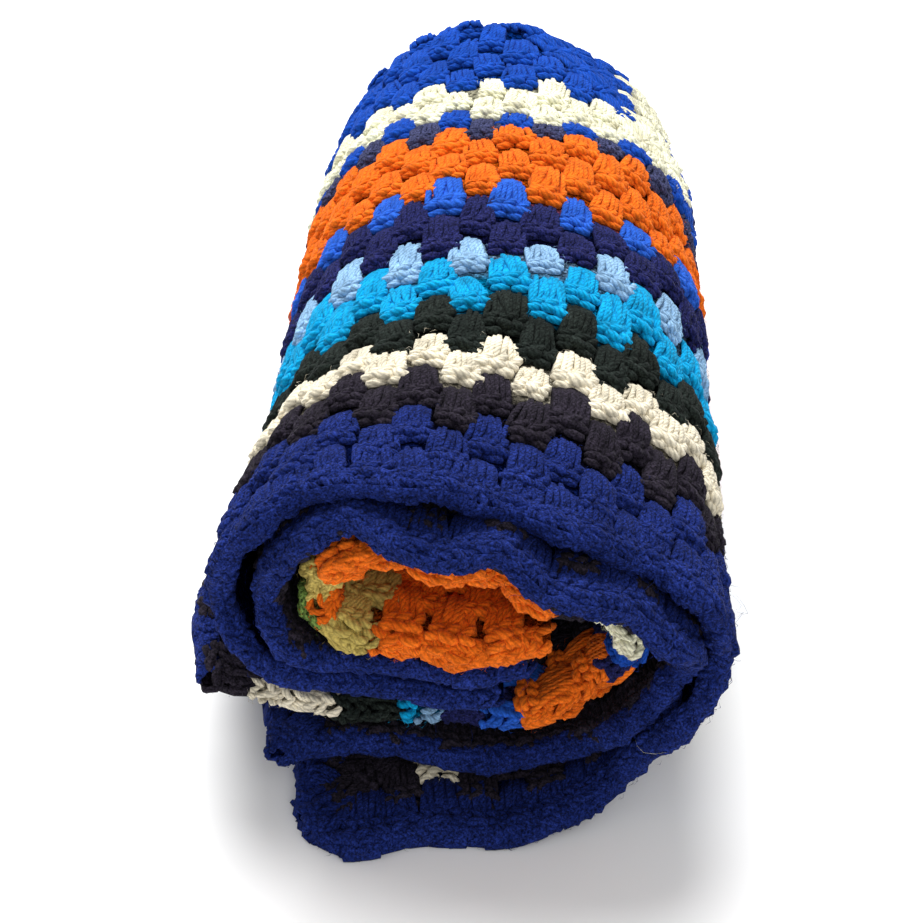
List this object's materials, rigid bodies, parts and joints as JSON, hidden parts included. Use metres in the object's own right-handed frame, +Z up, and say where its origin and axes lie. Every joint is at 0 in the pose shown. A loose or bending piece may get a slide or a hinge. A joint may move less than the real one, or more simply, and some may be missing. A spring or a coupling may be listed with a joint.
{
  "type": "granny square blanket, folded and rolled",
  "caption": "Striped crochet granny square blanket, folded into a thick strip and loosely rolled, with its edges showing as a spiral at the open end.",
  "frame": {"origin": "middle of the underside of the roll's bounding box", "axes": "+Z up, +Y along the roll from its open end to its folded end, +X to the right as seen from the open end"},
  "size_m": [0.1526, 0.3522, 0.1233],
  "materials": {
    "crochet_yarn": "matt"
  },
  "bodies": {
    "root": {"rolled_blanket": "crochet_yarn"}
  },
  "joints": []
}
